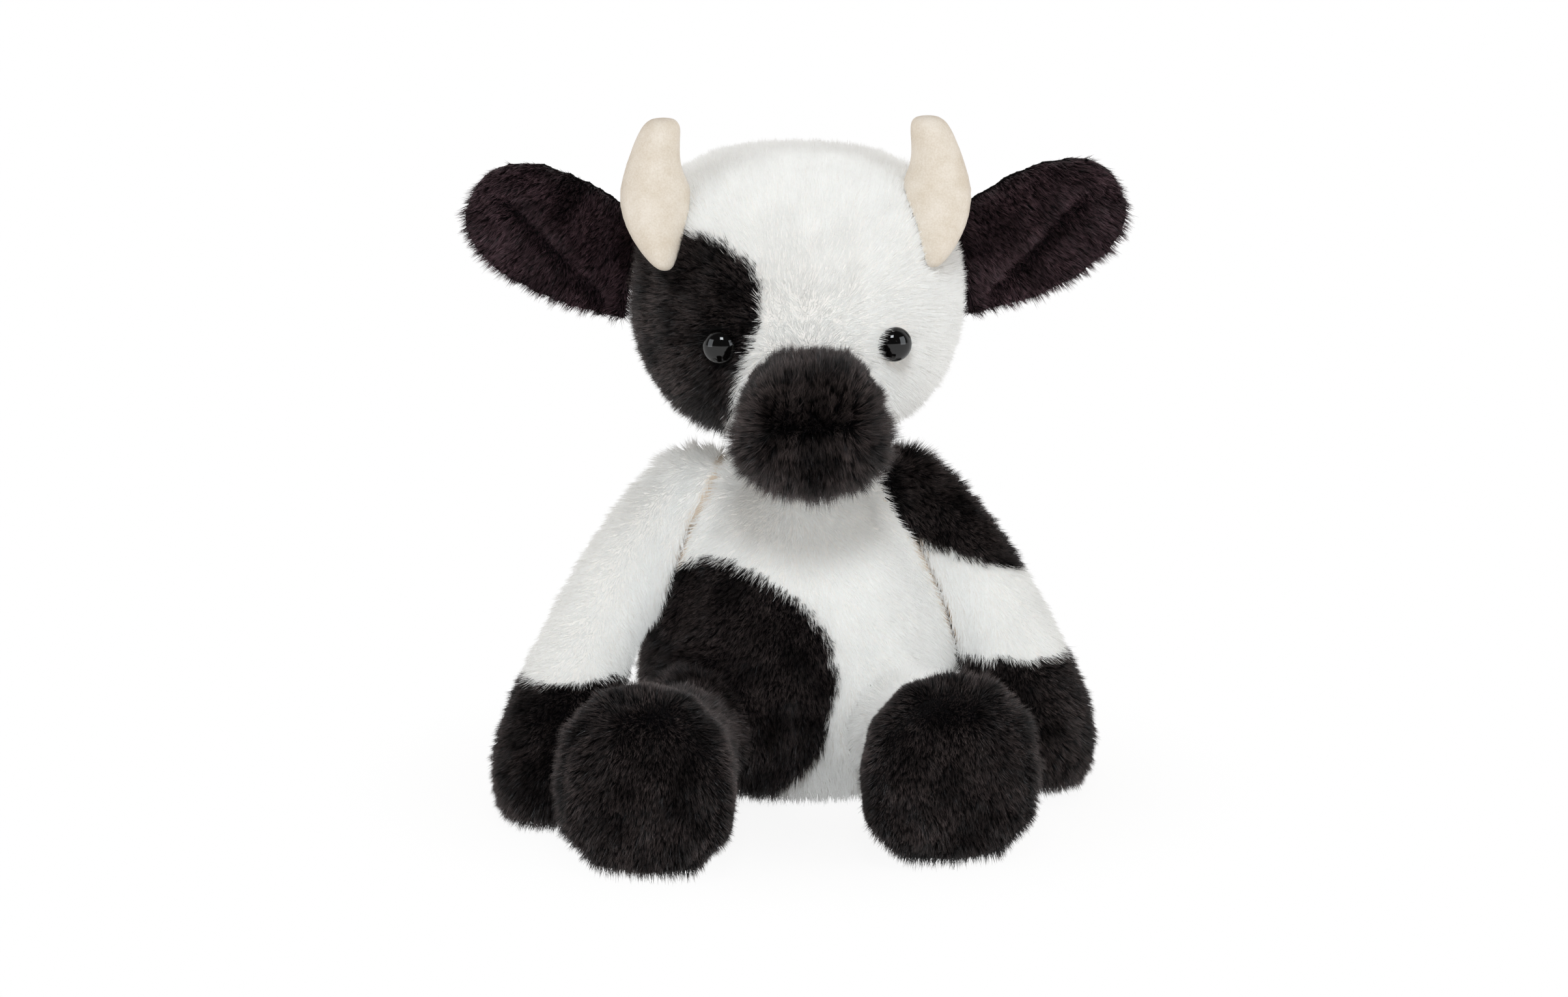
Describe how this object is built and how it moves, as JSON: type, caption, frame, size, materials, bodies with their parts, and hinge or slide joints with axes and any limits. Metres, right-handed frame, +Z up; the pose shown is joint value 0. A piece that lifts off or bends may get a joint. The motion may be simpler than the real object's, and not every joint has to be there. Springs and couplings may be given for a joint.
{
  "type": "plush cow",
  "caption": "Seated soft toy cow with a big head, side ears, suede horns, black patches and muzzle, plastic eyes, and floppy arms, legs and tail",
  "frame": {"origin": "centre of the flat under the seat, on the floor", "axes": "+Z up; the cow faces -Y; +X is the cow's own left side"},
  "size_m": [0.2699, 0.2843, 0.2758],
  "materials": {
    "plush_white": "white long-pile plush",
    "plush_black": "black long-pile plush",
    "plush_ear": "black plush with a warm tint",
    "horn_suede": "cream faux suede",
    "eye_plastic": "polished black plastic",
    "washer_plastic": "natural plastic",
    "lining_fabric": "tan knitted lining"
  },
  "bodies": {
    "torso_body": {"torso": "plush_white", "belly_patch": "plush_black"},
    "neck_body": {"neck": "lining_fabric"},
    "head_body": {"head": "plush_white", "face_patch": "plush_black", "muzzle": "plush_black", "chin": "plush_black", "right_eye": "eye_plastic", "left_eye": "eye_plastic", "right_eye_washer": "washer_plastic", "left_eye_washer": "washer_plastic", "right_horn": "horn_suede", "left_horn": "horn_suede"},
    "right_ear_body": {"right_ear_back": "plush_ear", "right_ear_lining": "plush_ear"},
    "left_ear_body": {"left_ear_back": "plush_ear", "left_ear_lining": "plush_ear"},
    "right_arm_body": {"right_arm": "plush_white", "right_paw": "plush_black"},
    "left_arm_body": {"shoulder_patch": "plush_black", "left_arm": "plush_white", "left_paw": "plush_black"},
    "right_leg_body": {"right_leg": "plush_black", "right_foot": "plush_black", "right_foot_sole": "plush_black"},
    "left_leg_body": {"left_leg": "plush_white", "left_foot": "plush_black", "left_foot_sole": "plush_black"},
    "tail_body": {"tail": "plush_white", "tail_tuft": "plush_black"}
  },
  "joints": [
    {"name": "head_turn", "type": "hinge", "parent": "torso_body", "child": "neck_body", "pos_m": [0, 0.004, 0.1405], "axis": [0, 0, 1], "range_deg": [-32, 32], "stiffness_Nm_per_rad": 0.3},
    {"name": "head_nod", "type": "hinge", "parent": "neck_body", "child": "head_body", "pos_m": [0, 0.004, 0.1405], "axis": [1, 0, 0], "range_deg": [-12, 12], "stiffness_Nm_per_rad": 1.2, "springref_deg": -0.57},
    {"name": "right_ear_bend", "type": "hinge", "parent": "head_body", "child": "right_ear_body", "pos_m": [-0.06845, 0.00062, 0.214], "axis": [0.1902, 0.015, 0.9816], "range_deg": [-35, 25], "stiffness_Nm_per_rad": 0.03},
    {"name": "left_ear_bend", "type": "hinge", "parent": "head_body", "child": "left_ear_body", "pos_m": [0.06813, 0.01137, 0.214], "axis": [0.1902, 0.015, -0.9816], "range_deg": [-35, 25], "stiffness_Nm_per_rad": 0.03},
    {"name": "right_arm_raise", "type": "hinge", "parent": "torso_body", "child": "right_arm_body", "pos_m": [-0.0435, 0.004, 0.1185], "axis": [0, 1, 0], "range_deg": [0, 70]},
    {"name": "left_arm_raise", "type": "hinge", "parent": "torso_body", "child": "left_arm_body", "pos_m": [0.0435, 0.004, 0.1185], "axis": [0, -1, 0], "range_deg": [0, 70]},
    {"name": "right_leg_swing", "type": "hinge", "parent": "torso_body", "child": "right_leg_body", "pos_m": [-0.044, -0.048, 0.033], "axis": [1, 0, 0], "range_deg": [-20, 42], "stiffness_Nm_per_rad": 0.4, "springref_deg": -3.44},
    {"name": "left_leg_swing", "type": "hinge", "parent": "torso_body", "child": "left_leg_body", "pos_m": [0.044, -0.048, 0.033], "axis": [1, 0, 0], "range_deg": [-20, 42], "stiffness_Nm_per_rad": 0.4, "springref_deg": -3.44},
    {"name": "tail_lift", "type": "hinge", "parent": "torso_body", "child": "tail_body", "pos_m": [0, 0.0625, 0.034], "axis": [1, 0, 0], "range_deg": [0, 70]}
  ]
}
